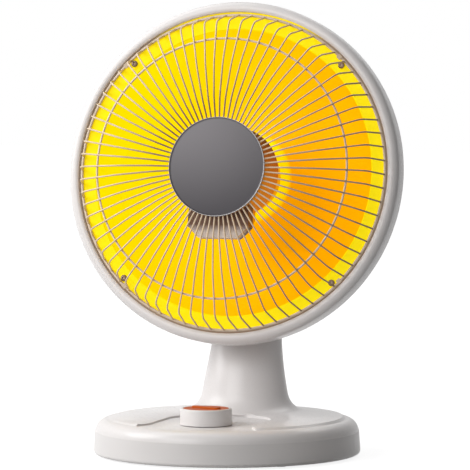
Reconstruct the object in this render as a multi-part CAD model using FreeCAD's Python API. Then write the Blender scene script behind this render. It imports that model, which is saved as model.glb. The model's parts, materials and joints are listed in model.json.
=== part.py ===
import FreeCAD, Part
import math
import os

# Parabolic heater. Millimetres, +Z up, front towards -Y.
# Origin on the floor, at the centre of the round base.

# Driving dimensions: base
BASE_RADIUS = 115.0
PARTING_Z = 21.6
PLATEAU_Z = 34.5
STEP_DEPTH = 2.7
WALL = 2.4
FOOT_HEIGHT = 1.6
FOOT_RADIUS = 8.0
TRAY_CORNER = 3.0
BAY_HALF = 46.0
BAY_CORNER = 33.0
BALLAST_THICKNESS = 4.0
GLAND_Z = 11.5
GLAND_RADIUS = 6.0
CORD_RADIUS = 3.6
PLUNGER_RADIUS = 4.0
PLUNGER_TRAVEL = 5.0
POST_RADIUS = 4.5
SCREW_RADIUS = 1.5
SCREW_HEAD = 3.2
BALLAST_INSET = 39.0
POST_INSET = 27.0
FOOT_INSET = 20.0

# Driving dimensions: knob and switch
KNOB_INSET = 56.0
KNOB_RADIUS = 22.5
KNOB_TOP_Z = 46.4
KNOB_RIM = 2.7
BAY_REACH = 67.0
SHAFT_RADIUS = 3.0

# Driving dimensions: neck and tilt pivot
NECK_Y = 52.0
NECK_WIDTH = 76.0
NECK_DEPTH = 60.0
PIVOT_Y = 70.0
PIVOT_Z = 142.0
BOLT_RADIUS = 4.0
LUG_HALF = 11.2

# Driving dimensions: head, seen along its own axis from the guard's rim ring
HEAD_Y = 14.0
HEAD_Z = 245.0
HEAD_TILT = 9.0
RIM_RADIUS = 150.0
TRIM_DEPTH = 18.0
BOWL_DEPTH = 46.0
REAR_SPACE = 19.0
DISC_RADIUS = 43.0
GUARD_HEIGHT = 43.0
WIRE_COUNT = 72
WIRE_RADIUS = 0.95
RING_TUBE = 1.3
MID_TUBE = 0.95
EMITTER_RADIUS = 40.0
STUD_RADIUS = 3.0
PAN_HEAD = 2.9
SHEET = 1.0
MID_RING_INSET = 25.1
VENT_INSET = 54.0
VENT_LENGTH = 34.0
VENT_FRONT = 10.0
PASSAGE_START = 54.0
PASSAGE_LENGTH = 8.0
PASSAGE_HALF = 7.0
CUTOUT_INSET = 14.5

# Clearances
RUN = 0.05
SLIP = 0.2
APART = 0.3

# Worked out from the driving dimensions
TRAY_Z = FOOT_HEIGHT
TRAY_FLOOR_Z = TRAY_Z + WALL
BAY_Z = PLATEAU_Z - STEP_DEPTH
BAY_UNDER_Z = BAY_Z - WALL
COVER_RADIUS = BASE_RADIUS - 0.4
CREASE_RADIUS = BASE_RADIUS - 12.0
POST_CIRCLE = BASE_RADIUS - POST_INSET
POST_ANGLES = (20, 160, 200, 340)
POST_END_Z = TRAY_FLOOR_Z + 2.6
FOOT_CIRCLE = BASE_RADIUS - FOOT_INSET
PAD_OUT = BASE_RADIUS - 1.5
BALLAST_RADIUS = BASE_RADIUS - BALLAST_INSET
BALLAST_TOP_Z = TRAY_FLOOR_Z + BALLAST_THICKNESS
TIP_ANGLE = math.radians(146)
TIP_X = (BALLAST_RADIUS - 22.0) * math.cos(TIP_ANGLE)
TIP_Y = (BALLAST_RADIUS - 22.0) * math.sin(TIP_ANGLE)
TIP_HALF_X = PLUNGER_RADIUS + 8.0
TIP_HALF_Y = PLUNGER_RADIUS + 6.0
TIP_CHAMBER_Z = TRAY_FLOOR_Z + 3.6
KNOB_Y = KNOB_INSET - BASE_RADIUS
BUSH_RADIUS = SHAFT_RADIUS + 2.0
INSERT_DEPTH = 3.0
KNOB_FOOT_Z = BAY_Z + 0.6
NUT_TOP_Z = BAY_Z + 2.5
RING_RADIUS = RIM_RADIUS - 11.9
FLANGE_FRONT = -RING_TUBE
FLANGE_BACK = FLANGE_FRONT - 1.2
SPIGOT_RADIUS = RIM_RADIUS - 2.7
SCREW_CIRCLE = RING_RADIUS - RING_TUBE - PAN_HEAD - SLIP
SCREW_ANGLES = (45, 135, 225, 315)
CLIP_SHEET = 0.8
BOWL_EDGE = RIM_RADIUS - 0.5
REFLECTOR_EDGE = RIM_RADIUS - 24.0
REFLECTOR_FLAT = EMITTER_RADIUS + 6.0
REFLECTOR_FRONT = REAR_SPACE - TRIM_DEPTH - BOWL_DEPTH
REFLECTOR_BACK = REFLECTOR_FRONT - SHEET
VENT_OUTER = RIM_RADIUS - VENT_INSET
VENT_INNER = VENT_OUTER - VENT_LENGTH
HOLDER_RADIUS = EMITTER_RADIUS - 4.0
HOLDER_TOP = -10.0
SPIGOT_SMALL = 24.0
EMITTER_TOP = 28.0
SHIELD_RADIUS = EMITTER_RADIUS - 2.0
SHIELD_CORNER = 6.0
SHIELD_TOP = GUARD_HEIGHT - 5.0
HOLDER_FOOT = REFLECTOR_FRONT - 3.0
PLATE_BACK = HOLDER_FOOT - 1.2
NUT_HEIGHT = 4.0
MID_RING_RADIUS = RING_RADIUS - MID_RING_INSET
SHOULDER_RADIUS = RING_RADIUS - 8.4
SHOULDER_HEIGHT = GUARD_HEIGHT - 14.6
WIRE_START = DISC_RADIUS - 11.0
WIRE_KNEE = DISC_RADIUS + 17.0
KNEE_HEIGHT = GUARD_HEIGHT - 2.6
CHEEK_INNER = LUG_HALF + 0.8
CHEEK_OUTER = CHEEK_INNER + 9.0
CHEEK_RADIUS = 13.0
KNUCKLE_RADIUS = 12.0

X_AXIS = FreeCAD.Vector(1, 0, 0)
Y_AXIS = FreeCAD.Vector(0, 1, 0)
Z_AXIS = FreeCAD.Vector(0, 0, 1)
ORIGIN = FreeCAD.Vector(0, 0, 0)
HEAD_PLACE = FreeCAD.Placement(
    FreeCAD.Vector(0, HEAD_Y, HEAD_Z), FreeCAD.Rotation(X_AXIS, 90 - HEAD_TILT))


def lathe(start, *steps):
    """Turn a closed profile of (radius, height) points round Z; a step of two pairs is an arc."""
    first = FreeCAD.Vector(start[0], 0, start[1])
    here = first
    edges = []
    for step in steps:
        if len(step) == 2:
            there = FreeCAD.Vector(step[0], 0, step[1])
            edges.append(Part.LineSegment(here, there).toShape())
        else:
            through = FreeCAD.Vector(step[0], 0, step[1])
            there = FreeCAD.Vector(step[2], 0, step[3])
            edges.append(Part.Arc(here, through, there).toShape())
        here = there
    edges.append(Part.LineSegment(here, first).toShape())
    return Part.Face(Part.Wire(edges)).revolve(ORIGIN, Z_AXIS, 360)


def cap(radius, edge, apex):
    """Arc step from (radius, edge) to the axis at apex, on a circle centred on the axis."""
    rise = apex - edge
    sphere = (radius * radius + rise * rise) / (2 * rise)
    half = math.asin(radius / abs(sphere)) / 2
    return abs(sphere) * math.sin(half), apex - sphere * (1 - math.cos(half)), 0, apex


def rod(radius, z0, z1, x=0.0, y=0.0):
    return Part.makeCylinder(radius, z1 - z0, FreeCAD.Vector(x, y, z0))


def rod_along_x(radius, x0, x1, y, z):
    return Part.makeCylinder(radius, x1 - x0, FreeCAD.Vector(x0, y, z), X_AXIS)


def rod_along_y(radius, y0, y1, x, z):
    return Part.makeCylinder(radius, y1 - y0, FreeCAD.Vector(x, y0, z), Y_AXIS)


def block(x0, x1, y0, y1, z0, z1):
    return Part.makeBox(x1 - x0, y1 - y0, z1 - z0, FreeCAD.Vector(x0, y0, z0))


def ring(radius, tube, height):
    return Part.makeTorus(radius, tube, FreeCAD.Vector(0, 0, height))


def on_circle(radius, angle):
    return radius * math.cos(math.radians(angle)), radius * math.sin(math.radians(angle))


def turned(shape, angle):
    copy = shape.copy()
    copy.rotate(ORIGIN, Z_AXIS, angle)
    return copy


def prism(points, z0, z1):
    corners = [FreeCAD.Vector(x, y, z0) for x, y in points]
    face = Part.Face(Part.makePolygon(corners + corners[:1]))
    return face.extrude(FreeCAD.Vector(0, 0, z1 - z0))


def hexagon(across_flats, z0, z1):
    corner = across_flats / math.sqrt(3)
    return prism([on_circle(corner, 60 * k) for k in range(6)], z0, z1)


def in_head(shape):
    placed = shape.copy()
    placed.Placement = HEAD_PLACE.multiply(placed.Placement)
    return placed


def one(shape):
    """The single solid of a boolean result."""
    return shape.removeSplitter().Solids[0]


# Base

def base_tray():
    flare = BASE_RADIUS + 1.0
    centre = flare - TRAY_CORNER
    diagonal = math.sqrt(0.5)
    inner = TRAY_CORNER - WALL
    corner_z = TRAY_Z + TRAY_CORNER
    tray = lathe(
        (0, TRAY_Z), (centre, TRAY_Z),
        (centre + TRAY_CORNER * diagonal, corner_z - TRAY_CORNER * diagonal, flare, corner_z),
        (BASE_RADIUS, PARTING_Z), (BASE_RADIUS - WALL, PARTING_Z), (flare - WALL, corner_z),
        (centre + inner * diagonal, corner_z - inner * diagonal, centre, TRAY_FLOOR_Z), (0, TRAY_FLOOR_Z))
    pocket_half = GLAND_RADIUS + 5.0
    pocket = block(-pocket_half, pocket_half, PAD_OUT, BASE_RADIUS + 9, TRAY_FLOOR_Z + 0.4, PARTING_Z - 2)
    pad = block(-pocket_half - 1, pocket_half + 1, PAD_OUT - 8, PAD_OUT, TRAY_FLOOR_Z - 0.2, PARTING_Z - 1)
    tray = tray.cut(pocket).fuse(pad)
    tray = tray.cut(rod_along_y(GLAND_RADIUS + SLIP, PAD_OUT - 10, PAD_OUT + 5, 0, GLAND_Z))
    for angle in POST_ANGLES:
        x, y = on_circle(POST_CIRCLE, angle)
        tray = tray.fuse(rod(POST_RADIUS + 1.5, TRAY_Z + 0.2, POST_END_Z, x, y))
        tray = tray.cut(rod(SCREW_RADIUS + 0.1, TRAY_Z, POST_END_Z, x, y))
        tray = tray.cut(rod(SCREW_HEAD + SLIP, TRAY_Z, TRAY_FLOOR_Z, x, y))
    return one(tray.cut(rod(PLUNGER_RADIUS + APART, TRAY_Z - 1, TRAY_FLOOR_Z + 1, TIP_X, TIP_Y)))


def neck_section(z, width, depth, y):
    ellipse = Part.Ellipse(FreeCAD.Vector(0, y, z), width / 2, depth / 2)
    return Part.Wire(ellipse.toShape())


def neck(z0, z1, inset):
    """Flared neck as a loft of ellipses; inset gives the hollow inside it."""
    lean = PIVOT_Y - NECK_Y - 3
    stations = (
        (z0, 36, 32, 0.0), (PLATEAU_Z + 3, 15, 14, 0.0), (PLATEAU_Z + 8, 6, 6, 0.0),
        (PLATEAU_Z + 18, 0, 0, 0.0), (PLATEAU_Z + 38, -7, -6, 0.13),
        (PLATEAU_Z + 60, -13, -14, 0.45), (z1, -20, -24, 1.0))
    wires = []
    for z, wider, deeper, leaned in stations:
        width = NECK_WIDTH + wider - 2 * inset
        depth = NECK_DEPTH + deeper - 2 * inset
        wires.append(neck_section(z, width, depth, NECK_Y + lean * leaned))
    return Part.makeLoft(wires, True, False)


def bay():
    """U-shaped lower field round the knob, open to the front with a flared mouth."""
    back = KNOB_Y + BAY_REACH
    front = -BASE_RADIUS - 5
    top = PLATEAU_Z + 5
    field = block(-BAY_HALF, BAY_HALF, front, back, BAY_Z, top)
    uprights = [e for e in field.Edges if e.BoundBox.ZLength > 1 and e.BoundBox.YMin > back - 1]
    field = field.makeFillet(BAY_CORNER, uprights)
    mouth = KNOB_Y - 15.0
    wide = BAY_HALF + 24
    flare = prism([(-BAY_HALF, mouth), (BAY_HALF, mouth), (wide, front), (-wide, front)], BAY_Z, top)
    return field.fuse(flare)


def base_cover():
    shell = lathe(
        (0, PARTING_Z), (COVER_RADIUS, PARTING_Z),
        (COVER_RADIUS - 3.4, PARTING_Z + 7.2, CREASE_RADIUS, BAY_Z),
        (CREASE_RADIUS - 2.2, PLATEAU_Z), (0, PLATEAU_Z))
    hollow = lathe(
        (0, PARTING_Z - 1), (COVER_RADIUS - WALL, PARTING_Z - 1), (COVER_RADIUS - WALL, PARTING_Z),
        (COVER_RADIUS - WALL - 3.2, PARTING_Z + 5.0, CREASE_RADIUS - 1.6, BAY_UNDER_Z), (0, BAY_UNDER_Z))
    neck_top = PIVOT_Z - 20
    cover = shell.cut(bay()).fuse(neck(PLATEAU_Z - 0.6, neck_top, 0))
    cover = cover.cut(hollow).cut(neck(BAY_UNDER_Z - 0.1, neck_top - 4, WALL + 0.4))
    for side in (-1, 1):
        x0, x1 = sorted((side * CHEEK_INNER, side * CHEEK_OUTER))
        cheek = rod_along_x(CHEEK_RADIUS, x0, x1, PIVOT_Y, PIVOT_Z)
        foot = block(x0, x1, PIVOT_Y - CHEEK_RADIUS, PIVOT_Y + CHEEK_RADIUS, neck_top - 3, PIVOT_Z)
        cover = cover.fuse(cheek).fuse(foot)
        sink0, sink1 = sorted((side * (CHEEK_OUTER - 4), side * (CHEEK_OUTER + 1)))
        cover = cover.cut(rod_along_x(BOLT_RADIUS * 2, sink0, sink1, PIVOT_Y, PIVOT_Z))
    cover = cover.cut(rod_along_x(BOLT_RADIUS + RUN, -CHEEK_OUTER, CHEEK_OUTER, PIVOT_Y, PIVOT_Z))
    cover = cover.cut(block(-7, 7, PIVOT_Y - 4, PIVOT_Y + 4, neck_top - 6, neck_top + 2))
    for angle in POST_ANGLES:
        x, y = on_circle(POST_CIRCLE, angle)
        cover = cover.fuse(rod(POST_RADIUS, POST_END_Z, BAY_UNDER_Z + 0.5, x, y))
        cover = cover.cut(rod(SCREW_RADIUS, POST_END_Z, PARTING_Z, x, y))
    return one(cover.cut(rod(BUSH_RADIUS + SLIP, BAY_UNDER_Z - 1, BAY_Z + 1, 0, KNOB_Y)))


def rubber_feet():
    spots = [on_circle(FOOT_CIRCLE, angle) for angle in (45, 135, 225, 315)]
    return [rod(FOOT_RADIUS, 0, TRAY_Z, x, y) for x, y in spots]


def base_screws():
    screws = []
    for angle in POST_ANGLES:
        x, y = on_circle(POST_CIRCLE, angle)
        head = rod(SCREW_HEAD, TRAY_Z + 0.4, TRAY_FLOOR_Z, x, y)
        screws.append(one(head.fuse(rod(SCREW_RADIUS, TRAY_FLOOR_Z, PARTING_Z - 1, x, y))))
    return screws


def ballast_plate():
    plate = rod(BALLAST_RADIUS, TRAY_FLOOR_Z, BALLAST_TOP_Z)
    half_x = TIP_HALF_X + 3
    half_y = TIP_HALF_Y + 3
    window = block(
        TIP_X - half_x, TIP_X + half_x, TIP_Y - half_y, TIP_Y + half_y, TRAY_FLOOR_Z - 1, BALLAST_TOP_Z + 1)
    return one(plate.cut(window))


def tip_switch():
    body = block(
        TIP_X - TIP_HALF_X, TIP_X + TIP_HALF_X, TIP_Y - TIP_HALF_Y, TIP_Y + TIP_HALF_Y,
        TRAY_FLOOR_Z, PARTING_Z + 5)
    body = body.cut(rod(PLUNGER_RADIUS + RUN, TRAY_FLOOR_Z, TIP_CHAMBER_Z, TIP_X, TIP_Y))
    return one(body.cut(rod(PLUNGER_RADIUS + 2.4, TIP_CHAMBER_Z, PARTING_Z + 3.4, TIP_X, TIP_Y)))


def tip_plunger():
    collar_z = TIP_CHAMBER_Z + PLUNGER_TRAVEL + APART
    stem = rod(PLUNGER_RADIUS, 0, collar_z + 2, TIP_X, TIP_Y)
    tip = [e for e in stem.Edges if e.BoundBox.ZMax < 0.1]
    stem = stem.makeChamfer(0.6, tip)
    return one(stem.fuse(rod(PLUNGER_RADIUS + 2, collar_z, collar_z + 2, TIP_X, TIP_Y)))


def cord_gland():
    sleeve = rod_along_y(GLAND_RADIUS, PAD_OUT - 12, PAD_OUT, 0, GLAND_Z)
    flange = rod_along_y(GLAND_RADIUS + 1.0, PAD_OUT, PAD_OUT + 2, 0, GLAND_Z)
    return one(sleeve.fuse(flange).cut(rod_along_y(CORD_RADIUS, PAD_OUT - 13, PAD_OUT + 3, 0, GLAND_Z)))


def terminal_block():
    ways = 3
    way = 10.6
    half = ways * way / 2
    depth = 18.0
    x, y = on_circle(BALLAST_RADIUS - 23.0, 44)
    body = block(x - half, x + half, y - depth / 2, y + depth / 2, BALLAST_TOP_Z, BALLAST_TOP_Z + 11)
    for k in range(ways):
        middle = x + way * (k - 1)
        slot = block(middle - 3.4, middle + 3.4, y - depth / 2 - 1, y - depth / 2 + 5,
                     BALLAST_TOP_Z + 3, BALLAST_TOP_Z + 12)
        body = body.cut(slot)
    return one(body)


def rotary_switch():
    half = 17.0
    body = block(-half, half, KNOB_Y - half, KNOB_Y + half, BALLAST_TOP_Z + 2, BAY_UNDER_Z)
    bush = rod(BUSH_RADIUS, BAY_UNDER_Z, NUT_TOP_Z + 1, 0, KNOB_Y)
    bore = rod(SHAFT_RADIUS + RUN, BALLAST_TOP_Z + 4, NUT_TOP_Z + 2, 0, KNOB_Y)
    return one(body.fuse(bush).cut(bore))


def switch_nut():
    nut = hexagon(BUSH_RADIUS * 3, BAY_Z, NUT_TOP_Z)
    nut.translate(FreeCAD.Vector(0, KNOB_Y, 0))
    return one(nut.cut(rod(BUSH_RADIUS, BAY_Z - 1, NUT_TOP_Z + 1, 0, KNOB_Y)))


# Knob

def switch_shaft():
    flat = block(-SHAFT_RADIUS, SHAFT_RADIUS, 1.8, SHAFT_RADIUS + 1, KNOB_FOOT_Z + 5, KNOB_TOP_Z)
    shaft = rod(SHAFT_RADIUS, BALLAST_TOP_Z + 4 + APART, KNOB_TOP_Z - INSERT_DEPTH - 2).cut(flat)
    shaft.translate(FreeCAD.Vector(0, KNOB_Y, 0))
    return one(shaft)


def knob():
    skirt = KNOB_RADIUS - 3.0
    inset = KNOB_RADIUS - KNOB_RIM
    seat = KNOB_TOP_Z - INSERT_DEPTH
    body = lathe(
        (0, KNOB_FOOT_Z + 4.5), (skirt, KNOB_FOOT_Z + 4.5), (skirt, KNOB_FOOT_Z),
        (KNOB_RADIUS, KNOB_FOOT_Z), (KNOB_RADIUS - 0.4, KNOB_TOP_Z - 1.2),
        (KNOB_RADIUS - 0.8, KNOB_TOP_Z - 0.3, KNOB_RADIUS - 1.7, KNOB_TOP_Z),
        (inset, KNOB_TOP_Z), (inset, seat), (0, seat))
    body.translate(FreeCAD.Vector(0, KNOB_Y, 0))
    return one(body.cut(switch_shaft()))


def knob_insert():
    """Orange plate flush with the knob's rim, with a low grip bar across it."""
    radius = KNOB_RADIUS - KNOB_RIM - SLIP
    seat = KNOB_TOP_Z - INSERT_DEPTH
    grip_top = KNOB_TOP_Z + 1.3
    plate = rod(radius, seat, KNOB_TOP_Z - 0.2)
    grip = block(-3.5, 3.5, 5 - radius, radius - 5, seat, grip_top)
    ends = [e for e in grip.Edges if e.BoundBox.ZLength > 1]
    grip = grip.makeFillet(3.3, ends)
    rim = [e for e in grip.Edges if e.BoundBox.ZMin > grip_top - 0.1]
    grip = grip.makeFillet(1.0, rim)
    insert = plate.fuse(grip)
    insert.rotate(ORIGIN, Z_AXIS, 70)
    insert.translate(FreeCAD.Vector(0, KNOB_Y, 0))
    return one(insert)


# Tilt pivot

def pivot_bolt():
    shank = rod_along_x(BOLT_RADIUS, -CHEEK_OUTER + 1, CHEEK_OUTER - 4, PIVOT_Y, PIVOT_Z)
    head = rod_along_x(BOLT_RADIUS * 2 - 1, CHEEK_OUTER - 4, CHEEK_OUTER - 1, PIVOT_Y, PIVOT_Z)
    return one(shank.fuse(head))


def pivot_nut():
    nut = hexagon(BOLT_RADIUS * 3.2, 0, 2.6).cut(rod(BOLT_RADIUS, -1, 4))
    nut.Placement = FreeCAD.Placement(
        FreeCAD.Vector(-CHEEK_OUTER + 4, PIVOT_Y, PIVOT_Z), FreeCAD.Rotation(Y_AXIS, -90))
    return one(nut)


def pivot_caps():
    radius = BOLT_RADIUS * 2
    right = rod_along_x(radius, CHEEK_OUTER - 1, CHEEK_OUTER, PIVOT_Y, PIVOT_Z)
    left = rod_along_x(radius, -CHEEK_OUTER, -CHEEK_OUTER + 1, PIVOT_Y, PIVOT_Z)
    return [right, left]


def friction_washers():
    washers = []
    for side in (-1, 1):
        x0, x1 = sorted((side * (LUG_HALF + APART), side * CHEEK_INNER))
        disc = rod_along_x(CHEEK_RADIUS - 3, x0, x1, PIVOT_Y, PIVOT_Z)
        washers.append(one(disc.cut(rod_along_x(BOLT_RADIUS, x0 - 1, x1 + 1, PIVOT_Y, PIVOT_Z))))
    return washers


# Head

def bowl(inset):
    """Rear bowl behind the trim as a half ellipse turned round the axis."""
    edge = BOWL_EDGE - inset
    depth = BOWL_DEPTH - inset
    half = math.sqrt(0.5)
    return lathe(
        (0, -TRIM_DEPTH), (edge, -TRIM_DEPTH),
        (edge * math.cos(math.radians(22)), -TRIM_DEPTH - depth * math.sin(math.radians(22)),
         edge * half, -TRIM_DEPTH - depth * half),
        cap(edge * half, -TRIM_DEPTH - depth * half, -TRIM_DEPTH - depth))


def lug():
    """Knuckle on the back of the bowl, with a web that runs forward into the shell."""
    knuckle = rod_along_x(KNUCKLE_RADIUS, -LUG_HALF, LUG_HALF, PIVOT_Y, PIVOT_Z)
    web = block(-LUG_HALF, LUG_HALF, -32, 0, -KNUCKLE_RADIUS + 2, KNUCKLE_RADIUS - 2)
    web.rotate(ORIGIN, X_AXIS, -22)
    web.translate(FreeCAD.Vector(0, PIVOT_Y, PIVOT_Z))
    return knuckle.fuse(web)


def rear_housing():
    spigot = rod(SPIGOT_RADIUS, -TRIM_DEPTH, FLANGE_BACK)
    solid = in_head(bowl(0).fuse(spigot)).fuse(lug())
    hollow = bowl(WALL).fuse(rod(SPIGOT_RADIUS - WALL, -TRIM_DEPTH, FLANGE_BACK + 1))
    shell = solid.cut(in_head(hollow))
    for angle in SCREW_ANGLES:
        x, y = on_circle(SCREW_CIRCLE, angle)
        post = rod(POST_RADIUS, -TRIM_DEPTH - BOWL_DEPTH, FLANGE_BACK, x, y)
        shell = shell.fuse(in_head(post.common(bowl(0.5).fuse(spigot))))
        shell = shell.cut(in_head(rod(SCREW_RADIUS, FLANGE_BACK - 14, FLANGE_BACK, x, y)))
    behind = -TRIM_DEPTH - BOWL_DEPTH - 2
    vent_front = -TRIM_DEPTH - VENT_FRONT
    for k in range(13):
        slot = block(VENT_INNER, VENT_OUTER, -1.8, 1.8, behind, vent_front)
        shell = shell.cut(in_head(turned(slot, 12 * k + 18)))
    passage_end = PASSAGE_START + PASSAGE_LENGTH
    passage = block(-PASSAGE_HALF, PASSAGE_HALF, -passage_end, -PASSAGE_START, behind, vent_front)
    shell = shell.cut(in_head(passage))
    return one(shell.cut(rod_along_x(BOLT_RADIUS + RUN, -LUG_HALF - 1, LUG_HALF + 1, PIVOT_Y, PIVOT_Z)))


def trim_ring():
    inner = RIM_RADIUS - 8.0
    front = 1.6
    return in_head(lathe(
        (inner, FLANGE_FRONT), (inner, 0.6), (inner + 0.4, front - 0.2, inner + 1.4, front),
        (RIM_RADIUS - 3, front), (RIM_RADIUS - 0.8, front - 0.9, RIM_RADIUS, front - 3),
        (RIM_RADIUS, -TRIM_DEPTH), (SPIGOT_RADIUS + SLIP, -TRIM_DEPTH), (SPIGOT_RADIUS + SLIP, FLANGE_FRONT)))


def reflector():
    edge = SPIGOT_RADIUS - 0.1
    middle = (REFLECTOR_EDGE + REFLECTOR_FLAT) / 2 + 4
    sag = REFLECTOR_FRONT * 0.69
    hole = SPIGOT_SMALL + SLIP
    face = lathe(
        (hole, REFLECTOR_FRONT), (REFLECTOR_FLAT, REFLECTOR_FRONT),
        (middle, sag, REFLECTOR_EDGE, FLANGE_FRONT), (edge, FLANGE_FRONT), (edge, FLANGE_BACK),
        (REFLECTOR_EDGE + SHEET, FLANGE_BACK),
        (middle + SHEET, sag - SHEET, REFLECTOR_FLAT + 0.3, REFLECTOR_BACK), (hole, REFLECTOR_BACK))
    for angle in SCREW_ANGLES:
        x, y = on_circle(SCREW_CIRCLE, angle)
        face = face.cut(rod(SCREW_RADIUS + 0.1, FLANGE_BACK - 1, FLANGE_FRONT + 1, x, y))
    return in_head(one(face))


def reflector_screws():
    seat = FLANGE_FRONT + CLIP_SHEET
    shoulder = seat + 0.9
    screws = []
    for angle in SCREW_ANGLES:
        x, y = on_circle(SCREW_CIRCLE, angle)
        head = lathe(
            (0, seat), (PAN_HEAD, seat), (PAN_HEAD, shoulder), cap(PAN_HEAD, shoulder, shoulder + 1.3))
        head.translate(FreeCAD.Vector(x, y, 0))
        screw = head.fuse(rod(SCREW_RADIUS, FLANGE_BACK - 12, seat, x, y))
        screws.append(in_head(one(screw)))
    return screws


def guard_clips():
    """Tabs under the screws; a finger beside each screw reaches over the rim ring between two wires."""
    half_pitch = math.pi / WIRE_COUNT
    aside = RING_RADIUS * math.sin(half_pitch)
    finger_half = 2.0
    rise = RING_RADIUS - RING_TUBE - 0.4
    reach = RING_RADIUS + RING_TUBE
    low = FLANGE_FRONT
    high = RING_TUBE
    foot = block(SCREW_CIRCLE - PAN_HEAD - 0.8, rise, -PAN_HEAD, aside + finger_half, low, low + CLIP_SHEET)
    wall = block(rise - CLIP_SHEET, rise, aside - finger_half, aside + finger_half, low, high + CLIP_SHEET)
    finger = block(
        rise - CLIP_SHEET, reach, aside - finger_half, aside + finger_half, high, high + CLIP_SHEET)
    clip = foot.fuse(wall).fuse(finger)
    clip = clip.cut(rod(SCREW_RADIUS + 0.1, low - 1, high + 2, SCREW_CIRCLE, 0))
    return [in_head(one(turned(clip, angle))) for angle in SCREW_ANGLES]


def guard_wire():
    """One guard wire in the XZ plane: hub, knee, shoulder bend, then down on to the rim ring."""
    def corner(before, at, after, radius):
        to_before = (before - at).normalize()
        to_after = (after - at).normalize()
        half_angle = to_before.getAngle(to_after) / 2
        reach = radius / math.tan(half_angle)
        inward = (to_before + to_after).normalize()
        start = at + to_before * reach
        end = at + to_after * reach
        through = at + inward * (radius / math.sin(half_angle) - radius)
        return start, through, end

    hub = FreeCAD.Vector(WIRE_START, 0, GUARD_HEIGHT)
    knee = FreeCAD.Vector(WIRE_KNEE, 0, KNEE_HEIGHT)
    disc_edge = FreeCAD.Vector(DISC_RADIUS + 2, 0, GUARD_HEIGHT)
    shoulder = FreeCAD.Vector(SHOULDER_RADIUS, 0, SHOULDER_HEIGHT)
    rim = FreeCAD.Vector(RING_RADIUS, 0, 0)
    foot = rim + (shoulder - rim).normalize() * RING_TUBE
    bends = (corner(hub, disc_edge, knee, 12.0), corner(disc_edge, knee, shoulder, 30.0),
             corner(knee, shoulder, foot, 7.0))
    here = hub
    edges = []
    for start, through, end in bends:
        edges.append(Part.LineSegment(here, start).toShape())
        edges.append(Part.Arc(start, through, end).toShape())
        here = end
    edges.append(Part.LineSegment(here, foot).toShape())
    section = Part.Wire(Part.Circle(hub, X_AXIS, WIRE_RADIUS).toShape())
    return Part.Wire(edges).makePipeShell([section], True, True).Solids[0]


def guard_wires():
    wire = guard_wire()
    pitch = 360.0 / WIRE_COUNT
    return [in_head(turned(wire, pitch * k)) for k in range(WIRE_COUNT)]


def mid_ring_height():
    slope = (KNEE_HEIGHT - SHOULDER_HEIGHT) / (SHOULDER_RADIUS - WIRE_KNEE)
    wire_height = KNEE_HEIGHT - slope * (MID_RING_RADIUS - WIRE_KNEE)
    return wire_height - (WIRE_RADIUS + MID_TUBE) * math.sqrt(1 + slope * slope)


def badge_disc():
    back = GUARD_HEIGHT + WIRE_RADIUS
    lip = 0.8
    return in_head(lathe(
        (0, back), (DISC_RADIUS, back), (DISC_RADIUS + lip, back + lip, DISC_RADIUS, back + 2 * lip),
        (DISC_RADIUS - 2, back + lip), cap(DISC_RADIUS - 2, back + lip, back + 3.6)))


def badge_backing():
    top = GUARD_HEIGHT - WIRE_RADIUS
    return in_head(lathe(
        (STUD_RADIUS, top), (DISC_RADIUS - 4, top), (DISC_RADIUS - 4, top - 1.2), (STUD_RADIUS, top - 1.2)))


def badge_stud():
    top = GUARD_HEIGHT + WIRE_RADIUS
    low = GUARD_HEIGHT - WIRE_RADIUS - 1.2
    return in_head(one(rod(STUD_RADIUS, low - 0.8, top).fuse(rod(STUD_RADIUS + 3, low - 0.8, low))))


def ceramic_holder():
    """Round steatite holder with a terminal chamber below the emitter."""
    body = rod(HOLDER_RADIUS, REFLECTOR_FRONT, HOLDER_TOP)
    body = body.fuse(rod(SPIGOT_SMALL, HOLDER_FOOT, REFLECTOR_FRONT))
    half = 27.0
    low = -EMITTER_RADIUS - 20
    chamber = prism(
        [(-half, 0), (-half, low + 10), (-half + 9, low), (half - 9, low), (half, low + 10), (half, 0)],
        REFLECTOR_FRONT + 9, EMITTER_TOP - 8)
    chamber = chamber.cut(rod(EMITTER_RADIUS + 1, HOLDER_TOP, EMITTER_TOP))
    body = body.fuse(chamber).cut(rod(SPIGOT_SMALL - 5, REFLECTOR_FRONT + 5, HOLDER_TOP + 1))
    return in_head(one(body.cut(rod(STUD_RADIUS, REFLECTOR_FRONT - 4, REFLECTOR_FRONT + 6))))


def ceramic_emitter():
    """Ribbed emitter body; the winding is cast inside it."""
    ribs = 6
    pitch = (EMITTER_TOP - HOLDER_TOP) / ribs
    steps = []
    for k in range(ribs):
        z = HOLDER_TOP + pitch * k
        steps += [(EMITTER_RADIUS, z + pitch / 2, EMITTER_RADIUS - 1.5, z + pitch)]
    wall = EMITTER_RADIUS - 10
    return in_head(lathe(
        (wall, HOLDER_TOP), (EMITTER_RADIUS - 1.5, HOLDER_TOP), *steps, (STUD_RADIUS, EMITTER_TOP),
        (STUD_RADIUS, EMITTER_TOP - 6), (wall, EMITTER_TOP - 6)))


def heat_shield():
    """Dished sheet between the emitter and the disc."""
    diagonal = math.sqrt(0.5)
    centre = SHIELD_RADIUS - SHIELD_CORNER
    centre_z = EMITTER_TOP + SHIELD_CORNER
    inner = SHIELD_CORNER - SHEET
    return in_head(lathe(
        (STUD_RADIUS, EMITTER_TOP), (centre, EMITTER_TOP),
        (centre + SHIELD_CORNER * diagonal, centre_z - SHIELD_CORNER * diagonal, SHIELD_RADIUS, centre_z),
        (SHIELD_RADIUS, SHIELD_TOP), (SHIELD_RADIUS - SHEET, SHIELD_TOP), (SHIELD_RADIUS - SHEET, centre_z),
        (centre + inner * diagonal, centre_z - inner * diagonal, centre, EMITTER_TOP + SHEET),
        (STUD_RADIUS, EMITTER_TOP + SHEET)))


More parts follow.
